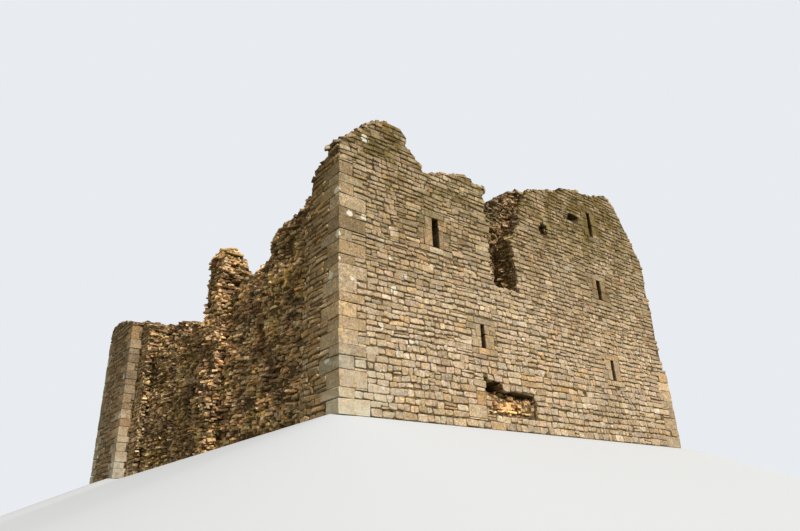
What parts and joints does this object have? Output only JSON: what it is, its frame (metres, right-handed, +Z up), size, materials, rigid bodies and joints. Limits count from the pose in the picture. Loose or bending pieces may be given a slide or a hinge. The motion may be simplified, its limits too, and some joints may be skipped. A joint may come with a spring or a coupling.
{
  "type": "ruined castle keep",
  "caption": "Roofless masonry keep with thick walls round an open court, splayed slit windows, a breached front, a robbed side wall and a clasping corner turret.",
  "frame": {"origin": "under the middle of the keep's bounding box, on the ground", "axes": "+X along the front wall from the near corner to the right corner, +Y from the front wall to the back wall, +Z up"},
  "size_m": [19.1, 23.48, 12.3],
  "materials": {
    "sandstone_facing": "coursed and weathered",
    "rubble_core": "rough rubble in old mortar",
    "dressed_sandstone": "squared and weathered"
  },
  "bodies": {
    "root": {"near_corner_quoins": "dressed_sandstone", "front_wall_corner_foot": "sandstone_facing", "front_wall_lower_slit_bay": "sandstone_facing", "front_wall_corner_bay": "sandstone_facing", "front_wall_upper_slit_bay": "sandstone_facing", "front_wall_breach_side": "sandstone_facing", "front_wall_under_breach": "sandstone_facing", "breach_core": "rubble_core", "front_wall_middle": "sandstone_facing", "front_wall_low_slit_bay": "sandstone_facing", "front_wall_middle_slit_bay": "sandstone_facing", "front_wall_top_slit_bay": "sandstone_facing", "front_wall_right": "sandstone_facing", "right_corner_quoins": "dressed_sandstone", "robbed_opening_core": "rubble_core", "upper_left_slit_surround": "dressed_sandstone", "lower_left_slit_surround": "dressed_sandstone", "lower_right_slit_surround": "dressed_sandstone", "middle_right_slit_surround": "dressed_sandstone", "top_right_slit_surround": "dressed_sandstone", "left_wall_near_core": "rubble_core", "left_wall_saddle": "rubble_core", "left_wall_pinnacle": "rubble_core", "left_wall_low_core": "rubble_core", "left_wall_far_face": "sandstone_facing", "corner_turret": "sandstone_facing", "turret_near_quoins": "dressed_sandstone", "turret_outer_quoins": "dressed_sandstone", "turret_back_quoins": "dressed_sandstone", "back_wall_left": "sandstone_facing", "back_wall_left_slit_bay": "sandstone_facing", "back_wall_middle": "sandstone_facing", "back_wall_low_slit_bay": "sandstone_facing", "back_wall_middle_slit_bay": "sandstone_facing", "back_wall_right": "sandstone_facing", "back_wall_slit_surrounds": "dressed_sandstone", "back_right_quoins": "dressed_sandstone", "right_wall_near": "sandstone_facing", "right_wall_over_door": "sandstone_facing", "right_wall_door_arch": "dressed_sandstone", "right_wall_middle": "sandstone_facing", "right_wall_low_slit_bay": "sandstone_facing", "right_wall_middle_slit_bay": "sandstone_facing", "right_wall_far": "sandstone_facing", "right_wall_slit_surrounds": "dressed_sandstone"}
  },
  "joints": []
}
